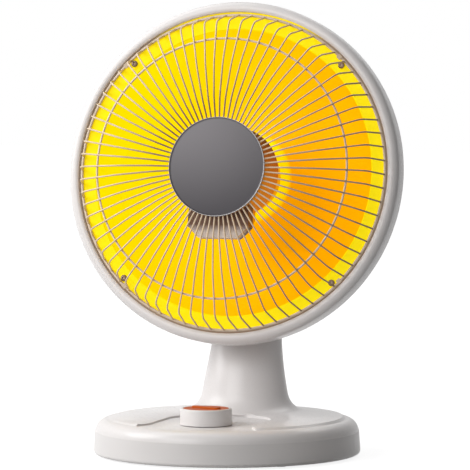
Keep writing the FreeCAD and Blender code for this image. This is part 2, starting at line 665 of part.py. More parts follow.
def mounting_plate():
    return in_head(lathe(
        (STUD_RADIUS, PLATE_BACK), (SHIELD_RADIUS, PLATE_BACK), (SHIELD_RADIUS, REFLECTOR_BACK),
        (SHIELD_RADIUS - 2, REFLECTOR_BACK), (SHIELD_RADIUS - 2, HOLDER_FOOT), (STUD_RADIUS, HOLDER_FOOT)))


def element_stud():
    top = EMITTER_TOP + SHEET
    head = lathe((0, top), (STUD_RADIUS * 2, top), cap(STUD_RADIUS * 2, top, top + 3.4))
    return in_head(one(rod(STUD_RADIUS, PLATE_BACK - NUT_HEIGHT - 0.8, top).fuse(head)))


def element_nut():
    nut = hexagon(STUD_RADIUS * 3.4, PLATE_BACK - NUT_HEIGHT, PLATE_BACK)
    return in_head(one(nut.cut(rod(STUD_RADIUS, PLATE_BACK - NUT_HEIGHT - 1, PLATE_BACK + 1))))


def thermal_cutout():
    """Round cut-out on the back of the mounting plate, with a terminal bar across it."""
    can = 8.0
    low = PLATE_BACK - 5
    x, y = on_circle(SHIELD_RADIUS - CUTOUT_INSET, 31)
    bar = block(x - can / 2, x + can / 2, y - can, y + can, low - 1, low)
    return in_head(one(rod(can, low, PLATE_BACK, x, y).fuse(bar)))


PARTS = {
    "base_tray": base_tray, "base_cover": base_cover, "rubber_feet": rubber_feet, "base_screws": base_screws,
    "ballast_plate": ballast_plate, "tip_switch": tip_switch, "tip_plunger": tip_plunger,
    "cord_gland": cord_gland, "terminal_block": terminal_block, "rotary_switch": rotary_switch,
    "switch_nut": switch_nut, "switch_shaft": switch_shaft, "knob": knob, "knob_insert": knob_insert,
    "pivot_bolt": pivot_bolt, "pivot_nut": pivot_nut, "pivot_caps": pivot_caps,
    "friction_washers": friction_washers, "rear_housing": rear_housing, "trim_ring": trim_ring,
    "reflector": reflector, "reflector_screws": reflector_screws, "guard_clips": guard_clips,
    "guard_wires": guard_wires, "guard_rim_ring": lambda: in_head(ring(RING_RADIUS, RING_TUBE, 0)),
    "guard_mid_ring": lambda: in_head(ring(MID_RING_RADIUS, MID_TUBE, mid_ring_height())),
    "badge_disc": badge_disc, "badge_backing": badge_backing, "badge_stud": badge_stud,
    "ceramic_holder": ceramic_holder, "ceramic_emitter": ceramic_emitter, "heat_shield": heat_shield,
    "mounting_plate": mounting_plate, "element_stud": element_stud, "element_nut": element_nut,
    "thermal_cutout": thermal_cutout,
}

os.makedirs("parts", exist_ok=True)
for name, make in PARTS.items():
    made = make()
    shape = Part.makeCompound(made) if isinstance(made, list) else made
    shape.exportStep(os.path.join("parts", name + ".step"))
    box = shape.BoundBox
    print(name, len(shape.Solids), "solids", round(shape.Volume), "mm3", "valid", shape.isValid(),
          "z", round(box.ZMin, 1), round(box.ZMax, 1))
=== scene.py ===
# %% [markdown]
# # Parabolic heater: the looks
#
# A small electric heater on a round base: a gold dish with a ceramic emitter at its middle throws the heat
# forward through a guard of thin wires. The solids come from the imported frame, already in place. This
# lesson dresses them. The pieces that the eye rests on are modelled again with finer edges and curves, in the
# same place, and every piece gets a procedural finish.

# %% Load the frame
import bpy
import bmesh
import json
import math
from mathutils import Matrix, Vector


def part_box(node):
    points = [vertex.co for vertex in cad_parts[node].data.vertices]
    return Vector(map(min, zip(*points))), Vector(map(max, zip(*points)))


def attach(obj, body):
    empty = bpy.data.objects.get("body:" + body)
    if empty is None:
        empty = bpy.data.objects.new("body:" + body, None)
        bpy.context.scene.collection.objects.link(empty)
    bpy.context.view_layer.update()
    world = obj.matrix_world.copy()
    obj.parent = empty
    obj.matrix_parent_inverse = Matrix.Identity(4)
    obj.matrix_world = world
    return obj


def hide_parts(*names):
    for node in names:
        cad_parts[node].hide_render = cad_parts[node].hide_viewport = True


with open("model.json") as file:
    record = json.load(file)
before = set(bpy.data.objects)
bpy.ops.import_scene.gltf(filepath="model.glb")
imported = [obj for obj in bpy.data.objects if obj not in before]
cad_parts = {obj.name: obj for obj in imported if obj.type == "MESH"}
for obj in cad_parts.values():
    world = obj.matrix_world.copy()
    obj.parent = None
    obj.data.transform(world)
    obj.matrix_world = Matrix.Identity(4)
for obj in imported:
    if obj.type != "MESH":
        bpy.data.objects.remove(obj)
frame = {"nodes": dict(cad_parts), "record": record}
scene = bpy.context.scene
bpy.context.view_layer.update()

# %% [markdown]
# ## Places taken from the frame
#
# On the real heater everything in the head is built round one axis, which leans back by nine degrees. The
# places could be typed in, but then a change to the solids would leave the looks behind. So the centre of the
# head is the middle of the guard's rim ring, read from the frame, and one matrix carries every turned profile
# from the origin to its place.

# %% Places
MM = 0.001
HEAD_TILT = math.radians(9)
RING_TUBE = 1.3 * MM
DISC_LIP = 0.8 * MM


def middle(node):
    low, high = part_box(node)
    return (Vector(low) + Vector(high)) / 2


def half_width(node):
    low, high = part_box(node)
    return (high[0] - low[0]) / 2


HEAD_CENTRE = middle("guard_rim_ring")
HEAD_TURN = (math.pi / 2 - HEAD_TILT, 0, 0)
HEAD_MATRIX = Matrix.Translation(HEAD_CENTRE) @ Matrix.Rotation(HEAD_TURN[0], 4, "X")
RING_RADIUS = half_width("guard_rim_ring") - RING_TUBE
DISC_RADIUS = half_width("badge_disc") - DISC_LIP
print("head centre", [round(v, 4) for v in HEAD_CENTRE], "ring radius", round(RING_RADIUS, 4))

# %% [markdown]
# ## Nodes that every finish uses
#
# A finish could be painted by hand on a texture, but a small node tree needs no unwrapping and stays sharp at
# any distance. Each helper here adds one node: noise for drift and grain, a ramp for tones, a spread for
# roughness and a bump for relief. The trees read the object's own coordinates, so a finish stays on its piece
# when the piece moves.

# %% Node helpers
FINISHES = {}
FINE_RELIEF = 0.2 * MM


def finish_tree(name):
    material = bpy.data.materials.new(name)
    material.use_nodes = True
    tree = material.node_tree
    shader = tree.nodes["Principled BSDF"]
    coords = tree.nodes.new("ShaderNodeTexCoord")
    return material, tree, shader, coords.outputs["Object"]


def noise(tree, vector, scale, detail=3.0):
    node = tree.nodes.new("ShaderNodeTexNoise")
    node.inputs["Scale"].default_value = scale
    node.inputs["Detail"].default_value = detail
    tree.links.new(vector, node.inputs["Vector"])
    return node.outputs["Fac"]


def ramp(tree, value, stops):
    node = tree.nodes.new("ShaderNodeValToRGB")
    elements = node.color_ramp.elements
    while len(elements) < len(stops):
        elements.new(0.5)
    for element, (place, colour) in zip(elements, stops):
        element.position = place
        element.color = (*colour, 1.0)
    tree.links.new(value, node.inputs["Fac"])
    return node.outputs["Color"]


def spread(tree, value, low, high, start=0.0, end=1.0):
    """The value, carried from the range start to end over to the range low to high."""
    node = tree.nodes.new("ShaderNodeMapRange")
    node.inputs["From Min"].default_value = start
    node.inputs["From Max"].default_value = end
    node.inputs["To Min"].default_value = low
    node.inputs["To Max"].default_value = high
    tree.links.new(value, node.inputs["Value"])
    return node.outputs["Result"]


def bump(tree, shader, value, strength, distance=FINE_RELIEF):
    node = tree.nodes.new("ShaderNodeBump")
    node.inputs["Strength"].default_value = strength
    node.inputs["Distance"].default_value = distance
    tree.links.new(value, node.inputs["Height"])
    tree.links.new(node.outputs["Normal"], shader.inputs["Normal"])


def shaded(colour, factor):
    return tuple(min(1.0, c * factor) for c in colour)


print("node helpers ready")

# %% [markdown]
# ## Moulded plastic
#
# The cover with its neck, the housing and the trim are moulded in warm white plastic, the tray in a slightly
# greyer one, the knob's insert in orange and the switch parts in black. The feet are rubber. One flat colour
# would do from afar, but real mouldings are never that even: the tone drifts a little where the wall is
# thicker, and the tool leaves a fine eroded grain. Two noises of very different scale give both.

# %% Moulded plastic


def moulded(name, colour, rough, grain=0.08, gloss=0.35):
    material, tree, shader, where = finish_tree(name)
    drift = noise(tree, where, scale=9.0)
    tone = ramp(tree, drift, [(0.35, shaded(colour, 0.965)), (0.65, colour)])
    tree.links.new(tone, shader.inputs["Base Color"])
    fine = noise(tree, where, scale=1400.0, detail=2.0)
    tree.links.new(spread(tree, fine, rough - 0.06, rough + 0.08), shader.inputs["Roughness"])
    shader.inputs["Specular IOR Level"].default_value = gloss
    bump(tree, shader, fine, strength=grain)
    FINISHES[name] = material


moulded("white_plastic", (0.80, 0.769, 0.759), rough=0.28, gloss=0.42)
moulded("grey_plastic", (0.76, 0.733, 0.722), rough=0.34)
moulded("black_plastic", (0.03, 0.03, 0.032), rough=0.45)
moulded("orange_plastic", (0.50, 0.095, 0.012), rough=0.50, gloss=0.12)
moulded("rubber_grey", (0.06, 0.06, 0.06), rough=0.75, grain=0.3)
print("moulded finishes:", ", ".join(FINISHES))

# %% [markdown]
# ## Bare metal
#
# Nuts, studs, the ballast and the screws are bare or darkened metal. An image of brushed metal would need
# unwrapping, so a noise drives the tone as well as the roughness. On plain steel it is squeezed along one
# axis, and then reads as the streaks of drawing or rolling.

# %% Bare metal


def metal(name, colour, rough, stretch=(1, 1, 1)):
    material, tree, shader, where = finish_tree(name)
    mapping = tree.nodes.new("ShaderNodeMapping")
    mapping.inputs["Scale"].default_value = stretch
    tree.links.new(where, mapping.inputs["Vector"])
    streak = noise(tree, mapping.outputs["Vector"], scale=220.0)
    tone = ramp(tree, streak, [(0.3, shaded(colour, 0.85)), (0.7, colour)])
    tree.links.new(tone, shader.inputs["Base Color"])
    tree.links.new(spread(tree, streak, rough - 0.08, rough + 0.08), shader.inputs["Roughness"])
    shader.inputs["Metallic"].default_value = 1.0
    bump(tree, shader, streak, strength=0.05)
    FINISHES[name] = material


metal("plain_steel", (0.55, 0.55, 0.56), rough=0.35, stretch=(1, 1, 6))
metal("dark_steel", (0.24, 0.17, 0.13), rough=0.45)
metal("brass_pin", (0.70, 0.50, 0.20), rough=0.3)
print("metal finishes: plain_steel, dark_steel, brass_pin")

# %% [markdown]
# ## Measures in the head's own coordinates
#
# Heat and thrown light mark the real head by place: above the emitter, on one side of the dish, close to the
# axis. Such marks could be painted on. Here a mapping node turns the object's coordinates into the head's
# own, with z forward along the axis. A measure is taken along a direction or out from the axis, cut to a band
# from 0 to 1, and used to tint a tone. It stays in place when the head tilts.

# %% Measures
TO_THE_TOP = (0, 1, 0)
TO_THE_FRONT = (0, 0, 1)
TO_THE_BACK = (0, 0, -1)
DOWNWARDS = (0, -1, 0)


def head_local(tree, where):
    node = tree.nodes.new("ShaderNodeMapping")
    node.vector_type = "TEXTURE"
    node.inputs["Location"].default_value = HEAD_CENTRE
    node.inputs["Rotation"].default_value = HEAD_TURN
    tree.links.new(where, node.inputs["Vector"])
    return node.outputs["Vector"]


def along(tree, vector, direction):
    node = tree.nodes.new("ShaderNodeVectorMath")
    node.operation = "DOT_PRODUCT"
    node.inputs[1].default_value = direction
    tree.links.new(vector, node.inputs[0])
    return node.outputs["Value"]


def from_axis(tree, vector):
    flat = tree.nodes.new("ShaderNodeVectorMath")
    flat.operation = "MULTIPLY"
    flat.inputs[1].default_value = (1, 1, 0)
    tree.links.new(vector, flat.inputs[0])
    size = tree.nodes.new("ShaderNodeVectorMath")
    size.operation = "LENGTH"
    tree.links.new(flat.outputs["Vector"], size.inputs[0])
    return size.outputs["Value"]


def band(tree, value, start, end):
    """0 at start, 1 at end."""
    return spread(tree, value, 0.0, 1.0, start, end)


def times(tree, first, second):
    node = tree.nodes.new("ShaderNodeMath")
    node.operation = "MULTIPLY"
    tree.links.new(first, node.inputs[0])
    tree.links.new(second, node.inputs[1])
    return node.outputs["Value"]


def tinted(tree, tone, factor, colour):
    """The tone, passing over to a colour as the factor rises."""
    node = tree.nodes.new("ShaderNodeMix")
    node.data_type = "RGBA"
    tree.links.new(factor, node.inputs[0])
    tree.links.new(tone, node.inputs[6])
    node.inputs[7].default_value = (*colour, 1.0)
    return node.outputs[2]


print("measures ready")

# %% [markdown]
# ## Stove enamel
#
# The guard's wires are dipped and fired in a pale enamel, which runs a little before it sets. Its warm tan is
# partly the enamel's own colour and partly painted reflection of the gold dish. The slight orange peel could
# be modelled, but at this size a bump from a middle-sized noise is enough, under a fairly glossy surface. The
# thin
# wires get painted shade: dark brown near the axis towards the upper left, and tan on the lower right, warmed
# by the amber half of the dish. The two rings are stouter and get none of this painted shade, so they have a
# finish of their own.

# %% Stove enamel
TO_THE_UPPER_LEFT = (-0.6, 0.8, 0)
AMBER_SIDE = (0.94, -0.34, 0)
WIRE_PAINTED_SHADE = (0.20, 0.115, 0.045)
WIRE_WARM_SHADE = (0.38, 0.28, 0.18)


# Painted shade: dark brown near the axis towards the upper left, and a warm tan on the lower right, facing
# the amber half of the dish.
def with_painted_wire_shade(tree, tone, local):
    near_axis = band(tree, from_axis(tree, local), 105 * MM, 50 * MM)
    above = band(tree, along(tree, local, TO_THE_UPPER_LEFT), 0.0, 45 * MM)
    tone = tinted(tree, tone, times(tree, near_axis, above), WIRE_PAINTED_SHADE)
    beside = band(tree, along(tree, local, AMBER_SIDE), 35 * MM, 85 * MM)
    return tinted(tree, tone, beside, WIRE_WARM_SHADE)


def enamel(name, colour, rough, with_shade=False):
    material, tree, shader, where = finish_tree(name)
    drift = noise(tree, where, scale=30.0)
    tone = ramp(tree, drift, [(0.3, shaded(colour, 0.9)), (0.7, colour)])
    if with_shade:
        tone = with_painted_wire_shade(tree, tone, head_local(tree, where))
    tree.links.new(tone, shader.inputs["Base Color"])
    peel = noise(tree, where, scale=700.0)
    tree.links.new(spread(tree, peel, rough - 0.05, rough + 0.1), shader.inputs["Roughness"])
    bump(tree, shader, peel, strength=0.1)
    FINISHES[name] = material


# The enamel's warm tan is partly its own colour and partly painted reflection of the gold dish.
enamel("painted_steel", (0.77, 0.63, 0.48), rough=0.36)
enamel("painted_shade_wire", (0.75, 0.58, 0.40), rough=0.36, with_shade=True)
print("enamel finishes: painted_steel, painted_shade_wire")

# %% [markdown]
# ## Fired ceramic
#
# The emitter and its holder are speckled, matt ceramic. The emitter is dark above and has a painted glow, a
# dull orange low down, where the dish throws the light back at it. A lamp inside would light the whole dish,
# so the glow is only in the finish. The holder is pale steatite, with a painted shadow of the disc close to
# the emitter and a painted reflection of the gold dish at its back.

# %% Fired ceramic
EMITTER_TONES = [(0.0, (0.10, 0.035, 0.012)), (0.5, (0.36, 0.11, 0.02)), (1.0, (0.62, 0.24, 0.02))]
EMITTER_GLOW = 0.35
LIT_SIDE = (0.45, -0.89, 0)
STEATITE_TONES = [(0.3, (0.78, 0.72, 0.68)), (0.6, (0.90, 0.84, 0.80))]
STEATITE_PAINTED_SHADOW = (0.22, 0.135, 0.10)
STEATITE_GOLD_REFLECTION = (0.95, 0.70, 0.03)


def fired(name, rough):
    material, tree, shader, where = finish_tree(name)
    speck = noise(tree, where, scale=260.0, detail=5.0)
    tree.links.new(spread(tree, speck, rough - 0.1, rough + 0.1), shader.inputs["Roughness"])
    shader.inputs["Specular IOR Level"].default_value = 0.2
    bump(tree, shader, speck, strength=0.2, distance=0.3 * MM)
    FINISHES[name] = material
    return tree, shader, speck, head_local(tree, where)


def warm_emitter():
    tree, shader, _, local = fired("emitter", rough=0.6)
    lit = band(tree, along(tree, local, LIT_SIDE), -12 * MM, 28 * MM)
    tone = ramp(tree, lit, EMITTER_TONES)
    tree.links.new(tone, shader.inputs["Base Color"])
    tree.links.new(tone, shader.inputs["Emission Color"])
    shader.inputs["Emission Strength"].default_value = EMITTER_GLOW


def steatite_with_painted_light():
    tree, shader, speck, local = fired("steatite", rough=0.55)
    tone = ramp(tree, speck, STEATITE_TONES)
    # Painted shadow of the disc, close to the emitter.
    disc_shadow = band(tree, along(tree, local, DOWNWARDS), 56 * MM, 49 * MM)
    tone = tinted(tree, tone, disc_shadow, STEATITE_PAINTED_SHADOW)
    # Painted reflection of the gold dish at the back.
    near_dish = band(tree, along(tree, local, TO_THE_BACK), 16 * MM, 26 * MM)
    tone = tinted(tree, tone, near_dish, STEATITE_GOLD_REFLECTION)
    tree.links.new(tone, shader.inputs["Base Color"])


warm_emitter()
steatite_with_painted_light()
print("ceramic finishes: emitter, steatite")

# %% [markdown]
# ## The gold dish
#
# The reflector is gold all over, but a bowl mirrors what it faces, so its lower right side looks amber, while
# the flat flange and the flat round the holder stay a clear yellow. A mirror finish would leave that to the
# room. Here a ramp across the bowl paints that reflection, with a painted glow of the same tone, so the dish
# keeps its warmth from every side. Beyond the guard's ring the flange has painted shade, except at the top,
# and so have the hooks of the clips that reach over that ring. The back of the sheet is bare metal and
# doesn't
# glow: an attribute on the faces tells the sides apart.

# %% Gold dish
GOLD_TONES = [(0.0, (0.90, 0.79, 0.0)), (0.33, (0.89, 0.59, 0.0)),
              (0.68, (0.87, 0.405, 0.0)), (1.0, (0.86, 0.365, 0.0))]
GOLD_FLANGE = (0.80, 0.65, 0.0)
GOLD_FLAT = (0.95, 0.82, 0.0)
GOLD_IN_SHADE = (0.26, 0.19, 0.14)
GOLD_HOOK = (0.40, 0.32, 0.24)
BARE_BACK = (0.30, 0.29, 0.28)
GOLD_GLOW = 0.58


def gold_tone(tree, local):
    # Painted reflection: amber across the bowl towards the lower right, clear yellow on the flange and the
    # flat.
    across = band(tree, along(tree, local, AMBER_SIDE), -105 * MM, 105 * MM)
    tone = ramp(tree, across, GOLD_TONES)
    depth = along(tree, local, TO_THE_FRONT)
    radius = from_axis(tree, local)
    tone = tinted(tree, tone, band(tree, depth, -2.6 * MM, -1.8 * MM), GOLD_FLANGE)
    tone = tinted(tree, tone, band(tree, radius, 41.5 * MM, 37 * MM), GOLD_FLAT)
    outside_ring = band(tree, radius, RING_RADIUS + 0.5 * MM, RING_RADIUS + 1.0 * MM)
    below_top = band(tree, along(tree, local, TO_THE_TOP), 130 * MM, 116 * MM)
    tone = tinted(tree, tone, times(tree, outside_ring, below_top), GOLD_IN_SHADE)
    return tinted(tree, tone, band(tree, depth, -0.3 * MM, 0.0), GOLD_HOOK)


def gold_dish():
    material, tree, shader, where = finish_tree("gold_reflector")
    side = tree.nodes.new("ShaderNodeAttribute")
    side.attribute_name = "back_of_sheet"
    back = side.outputs["Fac"]
    tone = tinted(tree, gold_tone(tree, head_local(tree, where)), back, BARE_BACK)
    tree.links.new(tone, shader.inputs["Base Color"])
    # A painted glow in the same tone on the front of the sheet, none on the back.
    tree.links.new(tone, shader.inputs["Emission Color"])
    tree.links.new(spread(tree, back, GOLD_GLOW, 0.0), shader.inputs["Emission Strength"])
    shader.inputs["Specular IOR Level"].default_value = 0.05
    spun = noise(tree, where, scale=400.0)
    tree.links.new(spread(tree, spun, 0.30, 0.38), shader.inputs["Roughness"])
    bump(tree, shader, spun, strength=0.03)
    FINISHES["gold_reflector"] = material


gold_dish()
print("gold finish: gold_reflector")

# %% [markdown]
# ## The spun disc
#
# The disc before the emitter is satin grey metal, turned on a lathe, with a paler rolled lip. Its tone is
# painted shade, darker towards the bottom. Rings about the axis come from a wave texture in the head's
# coordinates. They only touch roughness and bump: in the tone they would look printed.

# %% Spun disc
DISC_TONES = [(0.0, (0.038, 0.034, 0.039)), (1.0, (0.114, 0.106, 0.112))]
DISC_LIP_TONE = (0.55, 0.53, 0.53)


def lathe_rings(tree, local):
    wave = tree.nodes.new("ShaderNodeTexWave")
    wave.wave_type = "RINGS"
    wave.rings_direction = "Z"
    wave.inputs["Scale"].default_value = 420.0
    wave.inputs["Distortion"].default_value = 2.0
    tree.links.new(local, wave.inputs["Vector"])
    return wave.outputs["Fac"]


def spun_disc():
    material, tree, shader, where = finish_tree("disc_metal")
    local = head_local(tree, where)
    # Painted shade: the tone is darker towards the bottom of the disc.
    height = band(tree, along(tree, local, TO_THE_TOP), -DISC_RADIUS, DISC_RADIUS)
    tone = ramp(tree, height, DISC_TONES)
    lip = band(tree, from_axis(tree, local), DISC_RADIUS - 0.5 * MM, DISC_RADIUS - 0.1 * MM)
    tree.links.new(tinted(tree, tone, lip, DISC_LIP_TONE), shader.inputs["Base Color"])
    rings = lathe_rings(tree, local)
    tree.links.new(spread(tree, rings, 0.42, 0.5), shader.inputs["Roughness"])
    shader.inputs["Metallic"].default_value = 0.4
    bump(tree, shader, rings, strength=0.03, distance=0.1 * MM)
    FINISHES["disc_metal"] = material


spun_disc()
print("disc finish: disc_metal")

# %% [markdown]
# ## A finish for every solid
#
# Each solid could be dressed by hand. But each one in the record names the slot of its finish, so one loop
# dresses them all, also those that stay hidden inside until the heater is taken apart. The guard's clips get
# the dish's gold instead of the guard's enamel, so that they blend with the flange they lie on.

# %% Dress the solids
OTHER_FINISH = {"guard_clips": "gold_reflector"}
for part in frame["record"]["subparts"]:
    mesh = frame["nodes"][part["node"]].data
    mesh.materials.clear()
    mesh.materials.append(FINISHES[OTHER_FINISH.get(part["node"], part["material_slot"])])
print(len(FINISHES), "finishes on", len(frame["nodes"]), "nodes")

# %% [markdown]
# ## Turning a profile
#
# Most of the head was turned or pressed round an axis, so most pieces are a closed profile of radius and
# height that is spun a full turn. A Screw modifier could do it too, but the spin leaves real edges to bevel.
# Arcs in a profile are worked out from three points, as on a drawing. On mouldings the sharp corners get a
# small bevel after the spin, because a real edge always catches a line of light.

# %% Turned profiles
SPIN_STEPS = 160
SMALL_STEPS = 96
MERGE_DISTANCE = 1e-6
DISSOLVE_DISTANCE = 1e-7
BEVEL_ANGLE = math.radians(35)


def arc(start, through, end, steps):
    """Points after start, along the circle through the three points."""
    (ax, ay), (bx, by), (cx, cy) = start, through, end
    d = 2 * (ax * (by - cy) + bx * (cy - ay) + cx * (ay - by))
    a2, b2, c2 = ax * ax + ay * ay, bx * bx + by * by, cx * cx + cy * cy
    ux = (a2 * (by - cy) + b2 * (cy - ay) + c2 * (ay - by)) / d
    uy = (a2 * (cx - bx) + b2 * (ax - cx) + c2 * (bx - ax)) / d
    radius = math.hypot(ax - ux, ay - uy)
    first = math.atan2(ay - uy, ax - ux)
    turn = (math.atan2(cy - uy, cx - ux) - first + math.pi) % (2 * math.pi) - math.pi
    angles = [first + turn * k / steps for k in range(1, steps + 1)]
    return [(ux + radius * math.cos(t), uy + radius * math.sin(t)) for t in angles]


def turned(profile, bevel=0.0, steps=SPIN_STEPS):
    """A closed profile in metres, spun a full turn about Z."""
    mesh = bmesh.new()
    corners = [mesh.verts.new((r, 0, z)) for r, z in profile]
    edges = [mesh.edges.new((corners[k - 1], corners[k])) for k in range(len(corners))]
    bmesh.ops.spin(mesh, geom=corners + edges, axis=(0, 0, 1), cent=(0, 0, 0), angle=2 * math.pi,
                   steps=steps, use_merge=True)
    bmesh.ops.remove_doubles(mesh, verts=mesh.verts, dist=MERGE_DISTANCE)
    bmesh.ops.dissolve_degenerate(mesh, edges=mesh.edges, dist=DISSOLVE_DISTANCE)
    bmesh.ops.recalc_face_normals(mesh, faces=mesh.faces)
    if bevel:
        sharp = [e for e in mesh.edges if len(e.link_faces) == 2 and e.calc_face_angle() > BEVEL_ANGLE]
        bmesh.ops.bevel(mesh, geom=sharp, offset=bevel, segments=3, profile=0.5, affect="EDGES", material=-1)
    return mesh


print("profiles turn in", SPIN_STEPS, "steps")

# %% [markdown]
# ## Putting a piece in its place
#
# A finished mesh becomes an object of the scene here. It is moved by its corners and not by the object's own
# transform, so every piece keeps its origin at the frame's. Then it is put on the body that carries it and
# gets the finish of its slot in the record, unless another is named, and the solids it stands for are hidden,
# so that those are not shown as well.

# %% Pieces
SMOOTH_ANGLE = math.radians(38)


def piece(name, mesh, matrix, body, slot, *nodes, finish=None, smooth=SMOOTH_ANGLE):
    mesh.transform(matrix)
    data = bpy.data.meshes.new(name)
    mesh.to_mesh(data)
    mesh.free()
    data.polygons.foreach_set("use_smooth", [True] * len(data.polygons))
    data.set_sharp_from_angle(angle=smooth)
    data.materials.append(FINISHES[finish or slot])
    made = bpy.data.objects.new(name, data)
    scene.collection.objects.link(made)
    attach(made, body)
    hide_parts(*nodes)
    print(name, len(data.polygons), "faces")
    return made


print("pieces are smooth below", round(math.degrees(SMOOTH_ANGLE)), "degrees")

# %% [markdown]
# ## The trim
#
# A moulded ring closes the front of the housing and hides the edge of the dish. Its inner edge stands a
# little before the guard's ring, so that the ring sits in a shallow recess. A torus would be too round for
# it: the front is one low arch from the inner lip to the outer edge, with a plain skirt behind it.

# %% Trim
FLANGE = -RING_TUBE
EDGE_BEVEL = 0.4 * MM
TRIM_OUTER = half_width("trim_ring")
TRIM_INNER = 140.7 * MM
TRIM_LIP = 2.0 * MM
TRIM_CREST = (146.3 * MM, 2.5 * MM)
TRIM_SHOULDER = -2.6 * MM
SKIRT_BACK = -18 * MM
SKIRT_INNER = TRIM_OUTER - 2.5 * MM

trim = [(TRIM_INNER, FLANGE), (TRIM_INNER, TRIM_LIP - EDGE_BEVEL), (TRIM_INNER + EDGE_BEVEL, TRIM_LIP)]
trim += arc(trim[-1], TRIM_CREST, (TRIM_OUTER, TRIM_SHOULDER), steps=14)
trim += [(TRIM_OUTER, SKIRT_BACK), (SKIRT_INNER, SKIRT_BACK), (SKIRT_INNER, FLANGE)]
piece("trim_bezel", turned(trim, EDGE_BEVEL), HEAD_MATRIX, "head", "white_plastic", "trim_ring")

# %% [markdown]
# ## The reflector
#
# The dish is pressed from one sheet: a flat flange for its four screws, then one long curve down to the flat
# that carries the ceramic holder. It could be a single surface with a Solidify modifier, but the two faces of
# the sheet are simple enough to draw in one closed profile. The faces that look backwards are marked for the
# finish.

# %% Reflector
DISH_OUTER = half_width("reflector")
DISH_MOUTH = 126 * MM
DISH_MIDWAY = (90 * MM, -31.05 * MM)
DISH_FLAT = 46 * MM
DISH_HOLE = 24.2 * MM
DISH_FLOOR = -45 * MM
SHEET = 1.0 * MM
FLANGE_BACK = FLANGE - 1.2 * MM
BOWL_STEPS = 28

dish = [(DISH_HOLE, DISH_FLOOR), (DISH_FLAT, DISH_FLOOR)]
dish += arc(dish[-1], DISH_MIDWAY, (DISH_MOUTH, FLANGE), BOWL_STEPS)
dish += [(DISH_OUTER, FLANGE), (DISH_OUTER, FLANGE_BACK), (DISH_MOUTH + SHEET, FLANGE_BACK)]
midway_back = (DISH_MIDWAY[0] + SHEET, DISH_MIDWAY[1] - SHEET)
dish += arc(dish[-1], midway_back, (DISH_FLAT + 0.3 * MM, DISH_FLOOR - SHEET), BOWL_STEPS)
dish += [(DISH_HOLE, DISH_FLOOR - SHEET)]
dish_data = piece("gold_dish", turned(dish), HEAD_MATRIX, "head", "gold_reflector", "reflector").data

forward = HEAD_MATRIX.to_3x3() @ Vector(TO_THE_FRONT)
backs = [1.0 if face.normal.dot(forward) < 0 else 0.0 for face in dish_data.polygons]
dish_data.attributes.new("back_of_sheet", "FLOAT", "FACE").data.foreach_set("value", backs)
print(int(sum(backs)), "faces on the back of the sheet")

# %% [markdown]
# ## The disc
#
# A plain metal cap covers the inner ends of the wires at the middle of the guard. It is slightly domed and
# has a rolled lip. A flattened sphere would give the dome alone; a turned profile gives both in one step.

# %% Disc
GUARD_HEIGHT = 43 * MM
SOLID_WIRE = 0.95 * MM
LIP_ROLL = 0.7 * MM
DOME_HEIGHT = 3.6 * MM

disc_back = GUARD_HEIGHT + SOLID_WIRE
lip_out = (DISC_RADIUS + DISC_LIP, disc_back + DISC_LIP)
lip_in = (DISC_RADIUS - LIP_ROLL, disc_back + 1.7 * DISC_LIP)
dome_edge = (DISC_RADIUS - 2 * LIP_ROLL, disc_back + DISC_LIP)
dome_midway = (DISC_RADIUS * 0.485, disc_back + 2.9 * MM)
disc = [(0, disc_back), (DISC_RADIUS, disc_back)]
disc += arc(disc[-1], lip_out, (DISC_RADIUS, disc_back + 2 * DISC_LIP), steps=8)
disc += [lip_in, dome_edge]
disc += arc(dome_edge, dome_midway, (0, disc_back + DOME_HEIGHT), steps=14)
piece("plain_disc", turned(disc), HEAD_MATRIX, "head", "disc_metal", "badge_disc")

# %% [markdown]
# ## Bending a wire
#
# A curve with a round bevel would give the tube of a wire. Here the wire is made as a bending jig makes it: a
# round end is extruded along each straight run and spun round the centre of each bend, so the bends have true
# radii. The copies round the axis come from a spin too.

# %% Wire helpers
BEND_STEPS = 5


def pushed(mesh, end, shift):
    """Extrude the end face of a wire by a shift in the (r, z) plane."""
    new = bmesh.ops.extrude_face_region(mesh, geom=end)["geom"]
    tip = [v for v in new if isinstance(v, bmesh.types.BMVert)]
    bmesh.ops.translate(mesh, verts=tip, vec=(shift.x, 0, shift.y))
    return [f for f in new if isinstance(f, bmesh.types.BMFace)]


def bent(mesh, end, at, heading, turn, radius):
    """Spin the end face of a wire through a bend that starts at a point with a heading."""
    inward = Vector((-heading.y, heading.x)) * math.copysign(radius, turn)
    centre = at + inward
    spun = bmesh.ops.spin(mesh, geom=end, cent=(centre.x, 0, centre.y), axis=(0, -1, 0), angle=turn,
                          steps=BEND_STEPS)
    return [f for f in spun["geom_last"] if isinstance(f, bmesh.types.BMFace)]


def wire_through(corners, bends, radius, sides):
    """A wire in the plane y = 0 through corners, with a bend at each inner one."""
    corners = [Vector(c) for c in corners]
    headings = [(b - a).normalized() for a, b in zip(corners, corners[1:])]
    mesh = bmesh.new()
    bmesh.ops.create_circle(mesh, cap_ends=True, radius=radius, segments=sides)
    facing = Matrix.Rotation(math.pi / 2 - math.atan2(headings[0].y, headings[0].x), 3, "Y")
    bmesh.ops.rotate(mesh, verts=mesh.verts, cent=(0, 0, 0), matrix=facing)
    bmesh.ops.translate(mesh, verts=mesh.verts, vec=(corners[0].x, 0, corners[0].y))
    end, at = mesh.faces[:], corners[0]
    for corner, before, after, bend in zip(corners[1:], headings, headings[1:], bends):
        turn = math.atan2(before.x * after.y - before.y * after.x, before.dot(after))
        reach = bend * math.tan(abs(turn) / 2)
        start = corner - before * reach
        end = pushed(mesh, end, start - at)
        end = bent(mesh, end, start, before, turn, bend)
        at = corner + after * reach
    pushed(mesh, end, corners[-1] - at)
    return mesh


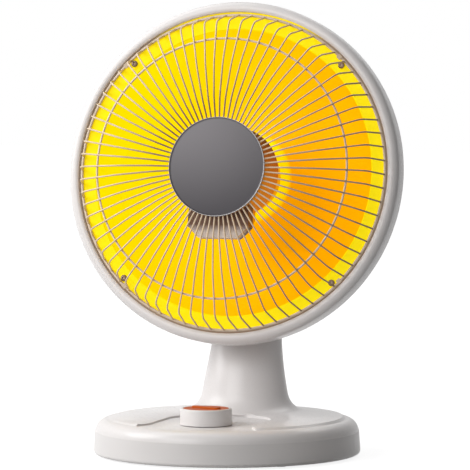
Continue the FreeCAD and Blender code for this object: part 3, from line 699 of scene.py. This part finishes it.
def repeated(mesh, count):
    """Copies of the whole mesh, evenly round Z."""
    everything = mesh.verts[:] + mesh.edges[:] + mesh.faces[:]
    sweep = 2 * math.pi * (count - 1) / count
    bmesh.ops.spin(mesh, geom=everything, axis=(0, 0, 1), cent=(0, 0, 0), angle=sweep,
                   steps=count - 1, use_duplicate=True)


print("each bend has", BEND_STEPS, "steps")

# %% [markdown]
# ## The guard's wires
#
# Each wire starts under the disc, rises to a slight crown at the knee, falls in a long bow to the shoulder
# and bends back to the rim ring, where it stops on the ring's surface. The corners are measured from the disc
# and from the ring, so the wires follow both. One wire is bent and then repeated round the axis.

# %% Guard wires
WIRE_COUNT = 72
WIRE_RADIUS = 0.75 * MM
WIRE_SIDES = 10
WIRE_BENDS = (12 * MM, 24 * MM, 60 * MM, 10 * MM)

wire_start = (DISC_RADIUS - 11 * MM, GUARD_HEIGHT)
under_lip = (DISC_RADIUS + 2 * MM, GUARD_HEIGHT)
knee = (DISC_RADIUS + 18 * MM, GUARD_HEIGHT + 1.6 * MM)
bow = (DISC_RADIUS + 48 * MM, GUARD_HEIGHT - 2.2 * MM)
shoulder = (RING_RADIUS - 8.4 * MM, GUARD_HEIGHT - 14.6 * MM)
rim = Vector((RING_RADIUS, 0.0))
foot = rim + (Vector(shoulder) - rim).normalized() * RING_TUBE
wire_corners = [wire_start, under_lip, knee, bow, shoulder, foot]
wires = wire_through(wire_corners, WIRE_BENDS, WIRE_RADIUS, WIRE_SIDES)
repeated(wires, WIRE_COUNT)
bmesh.ops.recalc_face_normals(wires, faces=wires.faces)
piece("wire_guard", wires, HEAD_MATRIX, "head", "painted_steel", "guard_wires", finish="painted_shade_wire")

# %% [markdown]
# ## The guard's rings
#
# Two wire rings tie the wires together: a stout one at the rim and a thin one inside the long run, welded to
# the back of the wires. A torus would do for either. Each is a circle spun round the axis, in as many steps
# as the other turned pieces, and the thin one takes its height from the slope of the wires.

# %% Guard rings
MID_TUBE = 0.95 * MM
RING_SIDES = 14


def wire_ring(radius, tube, height):
    mesh = bmesh.new()
    bmesh.ops.create_circle(mesh, cap_ends=False, radius=tube, segments=RING_SIDES)
    bmesh.ops.rotate(mesh, verts=mesh.verts, cent=(0, 0, 0), matrix=Matrix.Rotation(math.pi / 2, 3, "X"))
    bmesh.ops.translate(mesh, verts=mesh.verts, vec=(radius, 0, height))
    section = mesh.verts[:] + mesh.edges[:]
    bmesh.ops.spin(mesh, geom=section, axis=(0, 0, 1), cent=(0, 0, 0), angle=2 * math.pi, steps=SPIN_STEPS,
                   use_merge=True)
    bmesh.ops.recalc_face_normals(mesh, faces=mesh.faces)
    return mesh


rim_wire = wire_ring(RING_RADIUS, RING_TUBE, 0.0)
piece("rim_wire", rim_wire, HEAD_MATRIX, "head", "painted_steel", "guard_rim_ring")
slope = (bow[1] - shoulder[1]) / (shoulder[0] - bow[0])
mid_radius = half_width("guard_mid_ring") - MID_TUBE
mid_height = bow[1] - slope * (mid_radius - bow[0]) - (WIRE_RADIUS + MID_TUBE) * math.hypot(1, slope)
mid_wire = wire_ring(mid_radius, MID_TUBE, mid_height)
piece("mid_wire", mid_wire, HEAD_MATRIX, "head", "painted_steel", "guard_mid_ring")

# %% [markdown]
# ## The screws of the flange
#
# Four pan-head screws hold the guard's clips and the dish to the housing. The solid has a plain head. Seen
# close, a screw has a recess. It could be cut with a boolean, but a round one fits in the profile, and the
# copies come from the same spin as the wires.

# %% Flange screws
SCREW_COUNT = 4
SCREW_STEPS = 24
SCREW_CIRCLE = RING_RADIUS - RING_TUBE - 3.1 * MM
SCREW_TIP = -14.5 * MM
SHANK = 1.5 * MM
PAN = 2.9 * MM
PAN_EDGE = 0.9 * MM
CLIP_SHEET = 0.8 * MM

seat = FLANGE + CLIP_SHEET
screw = [(0, SCREW_TIP), (SHANK, SCREW_TIP), (SHANK, seat), (PAN, seat), (PAN, seat + PAN_EDGE)]
screw += arc(screw[-1], (2.2 * MM, seat + 1.7 * MM), (1.3 * MM, seat + 2.0 * MM), steps=5)
screw += [(1.0 * MM, seat + PAN_EDGE), (0, seat + 0.7 * MM)]
screws = turned(screw, steps=SCREW_STEPS)
bmesh.ops.translate(screws, verts=screws.verts, vec=(SCREW_CIRCLE, 0, 0))
bmesh.ops.rotate(screws, verts=screws.verts, cent=(0, 0, 0), matrix=Matrix.Rotation(math.pi / 4, 3, "Z"))
repeated(screws, SCREW_COUNT)
piece("flange_screws", screws, HEAD_MATRIX, "head", "dark_steel", "reflector_screws")

# %% [markdown]
# ## The holder and its terminal chamber
#
# The emitter stands on a round holder. A chamber below it takes the ends of the winding, and shows under the
# disc as a pale block with chamfered corners. The holder is turned. The chamber could be cut from a cube, but
# it follows the emitter closely, so it starts as one face that hugs the emitter above. That face is extruded
# backwards, narrowed and drawn up into the holder's side.

# %% Holder
EMITTER_CLEAR = 41 * MM
CHAMBER_ANGLE = math.radians(41)
CHAMBER_FRONT = 33 * MM
CHAMBER_MIDDLE = 52 * MM
HUG_STEPS = 6


def mm(*points):
    return [(a * MM, b * MM) for a, b in points]


CUP = mm((3, -48), (24, -48), (24, -45), (31, -45), (36, -10), (19, -10), (19, -40), (3, -40))
BLOCK = mm((27.5, -50.5), (17.5, -60.5), (-17.5, -60.5), (-27.5, -50.5))


def chamber_face(mesh):
    angles = [CHAMBER_ANGLE * k / HUG_STEPS for k in range(-HUG_STEPS, HUG_STEPS + 1)]
    hug = [(EMITTER_CLEAR * math.sin(a), -EMITTER_CLEAR * math.cos(a)) for a in angles]
    return mesh.faces.new([mesh.verts.new((x, y, CHAMBER_FRONT)) for x, y in hug + BLOCK])


def drawn_back(mesh, end, depth, narrow=1.0, lift=0.0):
    """Extrude the chamber's end backwards, narrowed about its middle and lifted towards the axis."""
    new = bmesh.ops.extrude_face_region(mesh, geom=[end])["geom"]
    tip = [v for v in new if isinstance(v, bmesh.types.BMVert)]
    to_middle = Matrix.Translation((0, CHAMBER_MIDDLE, 0))
    bmesh.ops.scale(mesh, verts=tip, vec=(narrow, narrow, 1), space=to_middle)
    bmesh.ops.translate(mesh, verts=tip, vec=(0, lift, -depth))
    return [f for f in new if isinstance(f, bmesh.types.BMFace)][0]


holder = turned(CUP, bevel=0.6 * MM, steps=SMALL_STEPS)
end = drawn_back(holder, chamber_face(holder), depth=13 * MM)
end = drawn_back(holder, end, depth=33 * MM, narrow=0.5)
drawn_back(holder, end, depth=18 * MM, lift=12 * MM)
bmesh.ops.recalc_face_normals(holder, faces=holder.faces)
piece("ceramic_seat", holder, HEAD_MATRIX, "head", "steatite", "ceramic_holder")

# %% [markdown]
# ## The base
#
# The base's cover is one moulding: a round shell with a raised plateau that runs up into the neck. The edge
# of the plateau is a fine crease that all but fades on the left. Modelling the cover again would be long
# work, so a copy of the solid is merged, the plateau's outer corners are lowered, most on the left, and a
# modifier rounds the edges that are still sharp.

# %% Base
PLATEAU_TOP = 34.5 * MM
PLATEAU_SLACK = 0.01 * MM
CREASE_DROP = 1.05 * MM
CREASE_LEAN = math.radians(-0.26)
NECK_CENTRE = Vector((0, 52 * MM))
NECK_FOOT = 52 * MM
EDGE_ROUND = 0.4 * MM
SHELL_SMOOTH = math.radians(22)
SHELL_SHARP = math.radians(30)

cover = bmesh.new()
cover.from_mesh(frame["nodes"]["base_cover"].data)
bmesh.ops.remove_doubles(cover, verts=cover.verts, dist=MERGE_DISTANCE)
level = [v for v in cover.verts if abs(v.co.z - PLATEAU_TOP) < PLATEAU_SLACK]
outer = [v for v in level if (v.co.xy - NECK_CENTRE).length > NECK_FOOT]
lean = Matrix.Rotation(CREASE_LEAN, 3, "Y")
bmesh.ops.rotate(cover, verts=outer, cent=(0, 0, PLATEAU_TOP), matrix=lean)
bmesh.ops.translate(cover, verts=outer, vec=(0, 0, -CREASE_DROP))
print(len(outer), "corners of the plateau lowered")
in_place = Matrix.Identity(4)
shell = piece("base_shell", cover, in_place, "base", "white_plastic", "base_cover", smooth=SHELL_SMOOTH)
soft_edge = shell.modifiers.new("edge", "BEVEL")
soft_edge.width = EDGE_ROUND
soft_edge.segments = 2
soft_edge.limit_method = "ANGLE"
soft_edge.angle_limit = SHELL_SHARP

# %% [markdown]
# ## The knob
#
# A plain white knob turns the switch. Its skirt tapers slightly for the mould, its top edge is soft, and a
# recess takes the orange insert. A bevelled cylinder would come close. The profile adds the taper, the recess
# and the hollow underneath, and is turned about the knob's own axis, which the frame gives.

# %% Knob
KNOB_CENTRE = middle("knob")
KNOB_RADIUS = half_width("knob")
KNOB_RIM = 2.7 * MM
KNOB_WALL = 3 * MM
KNOB_HOLLOW = 4.5 * MM
KNOB_TAPER = 0.4 * MM
INSERT_DEPTH = 3 * MM
SHAFT_HOLE = 3.05 * MM

knob_low, knob_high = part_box("knob")
knob_foot, knob_top = knob_low[2], knob_high[2]
roof = knob_foot + KNOB_HOLLOW
recess = knob_top - INSERT_DEPTH
skirt = KNOB_RADIUS - KNOB_WALL
inset = KNOB_RADIUS - KNOB_RIM
soft_start = (KNOB_RADIUS - KNOB_TAPER, knob_top - 1.2 * MM)
soft_middle = (KNOB_RADIUS - 2 * KNOB_TAPER, knob_top - 0.3 * MM)
soft_end = (KNOB_RADIUS - 1.7 * MM, knob_top)
knob = [(SHAFT_HOLE, roof), (skirt, roof), (skirt, knob_foot), (KNOB_RADIUS, knob_foot), soft_start]
knob += arc(soft_start, soft_middle, soft_end, steps=5)
knob += [(inset, knob_top), (inset, recess), (SHAFT_HOLE, recess)]
knob_mesh = turned(knob, EDGE_BEVEL, SMALL_STEPS)
knob_place = Matrix.Translation((KNOB_CENTRE.x, KNOB_CENTRE.y, 0))
piece("knob_body", knob_mesh, knob_place, "knob", "white_plastic", "knob")

# %% [markdown]
# ## The camera
#
# The camera stands where the photograph was taken from: a little to the right of the axis and slightly above.
# It could be placed by eye. Its angles, distance and focal length come from fitting the guard's rings, the
# screws and the outline of the base instead. The shift only brings the picture's centre to where the
# photograph has it.

# %% Camera
FRAME_PIXELS = 470
FOCAL_PIXELS = 4034.7
CENTRE_PIXELS = (227.0, 222.5)
CAMERA_AZIMUTH = 17.65
CAMERA_ELEVATION = 3.46
CAMERA_DISTANCE = 3.5
SENSOR_WIDTH = 36.0
TARGET = Vector((0, 0, HEAD_CENTRE.z - 43 * MM))


def outward(azimuth, elevation):
    """Unit vector from the target; azimuth 0 is the front, and positive is to the right."""
    a, e = math.radians(azimuth), math.radians(elevation)
    return Vector((math.sin(a) * math.cos(e), -math.cos(a) * math.cos(e), math.sin(e)))


def aimed(name, data, azimuth, elevation, distance):
    """Link a camera or a light that looks at the target."""
    made = bpy.data.objects.new(name, data)
    out = outward(azimuth, elevation)
    made.location = TARGET + out * distance
    made.rotation_euler = (-out).to_track_quat("-Z", "Y").to_euler()
    scene.collection.objects.link(made)
    return made


scene.view_settings.view_transform = "Standard"
camera_data = bpy.data.cameras.new("camera")
camera_data.sensor_width = SENSOR_WIDTH
camera_data.lens = FOCAL_PIXELS / FRAME_PIXELS * SENSOR_WIDTH
camera_data.shift_x = (FRAME_PIXELS / 2 - CENTRE_PIXELS[0]) / FRAME_PIXELS
camera_data.shift_y = (CENTRE_PIXELS[1] - FRAME_PIXELS / 2) / FRAME_PIXELS
scene.camera = aimed("camera", camera_data, CAMERA_AZIMUTH, CAMERA_ELEVATION, CAMERA_DISTANCE)
print("lens", round(camera_data.lens, 1), "mm")

# %% [markdown]
# ## The floor
#
# The photograph has a plain white ground. More light would turn the floor white but bleach the heater too. So
# the floor has a glow that only the camera and mirror-like or clear surfaces see. It still takes the heater's
# shadow, because the glow is added to the light that falls on it.

# %% Floor
FLOOR_REACH = 6.0
FLOOR_GAP = 0.2 * MM
FLOOR_GREY = (0.42, 0.42, 0.42, 1)
GLOW_NEAR, GLOW_FAR = 0.86, 1.0
NEAR, FAR = 0.3, 0.9
WHITE = (1, 1, 1, 1)


def seen_directly(tree):
    """1 on rays from the camera, a gloss or a clear surface, 0 on the rest."""
    paths = tree.nodes.new("ShaderNodeLightPath")
    total = paths.outputs["Is Camera Ray"]
    for kind in ("Is Glossy Ray", "Is Transmission Ray"):
        node = tree.nodes.new("ShaderNodeMath")
        node.operation = "MAXIMUM"
        tree.links.new(total, node.inputs[0])
        tree.links.new(paths.outputs[kind], node.inputs[1])
        total = node.outputs["Value"]
    return total


paint, tree, shader, where = finish_tree("floor")
shader.inputs["Base Color"].default_value = FLOOR_GREY
shader.inputs["Specular IOR Level"].default_value = 0.0
shader.inputs["Emission Color"].default_value = WHITE
glow = spread(tree, from_axis(tree, where), GLOW_NEAR, GLOW_FAR, NEAR, FAR)
tree.links.new(times(tree, seen_directly(tree), glow), shader.inputs["Emission Strength"])

floor_mesh = bmesh.new()
bmesh.ops.create_grid(floor_mesh, x_segments=1, y_segments=1, size=FLOOR_REACH)
floor_data = bpy.data.meshes.new("floor")
floor_mesh.to_mesh(floor_data)
floor_mesh.free()
floor_data.materials.append(paint)
floor = bpy.data.objects.new("floor", floor_data)
floor.location.z = -FLOOR_GAP
scene.collection.objects.link(floor)
print("floor ready,", FLOOR_REACH, "m to each side")

# %% [markdown]
# ## The backdrop
#
# Behind the heater there is only white. A wall would throw light back at the heater, so the world does it: it
# is white where the camera or a mirror-like surface looks at it, and on all other rays only a dim room that
# keeps the shadows open.

# %% Backdrop
ROOM_LEVEL = 0.11
world = bpy.data.worlds.new("studio")
world.use_nodes = True
scene.world = world
backdrop = world.node_tree.nodes["Background"]
backdrop.inputs["Color"].default_value = WHITE
room = spread(world.node_tree, seen_directly(world.node_tree), ROOM_LEVEL, 1.0)
world.node_tree.links.new(room, backdrop.inputs["Strength"])
print("backdrop ready, room level", ROOM_LEVEL)

# %% [markdown]
# ## Light
#
# The light in the photograph is soft and comes from the left, and the right side falls away into shade. A sun
# would draw hard edges. One large lamp at the left and a wide one further off before the heater give the long
# roll of tone round the base and the neck; two more lift the tops from the left and from behind.

# %% Lights


def soft_light(name, azimuth, elevation, distance, size, power):
    data = bpy.data.lights.new(name, "AREA")
    data.shape = "DISK"
    data.size = size
    data.energy = power
    aimed(name, data, azimuth, elevation, distance)
    print(name, power, "W")


soft_light("key", azimuth=-68, elevation=28, distance=1.3, size=0.9, power=11.2)
soft_light("left_top", azimuth=-90, elevation=64, distance=1.6, size=0.9, power=5.5)
soft_light("front_fill", azimuth=-22, elevation=20, distance=2.6, size=1.6, power=26.5)
soft_light("back_top", azimuth=165, elevation=50, distance=2.0, size=1.2, power=7)
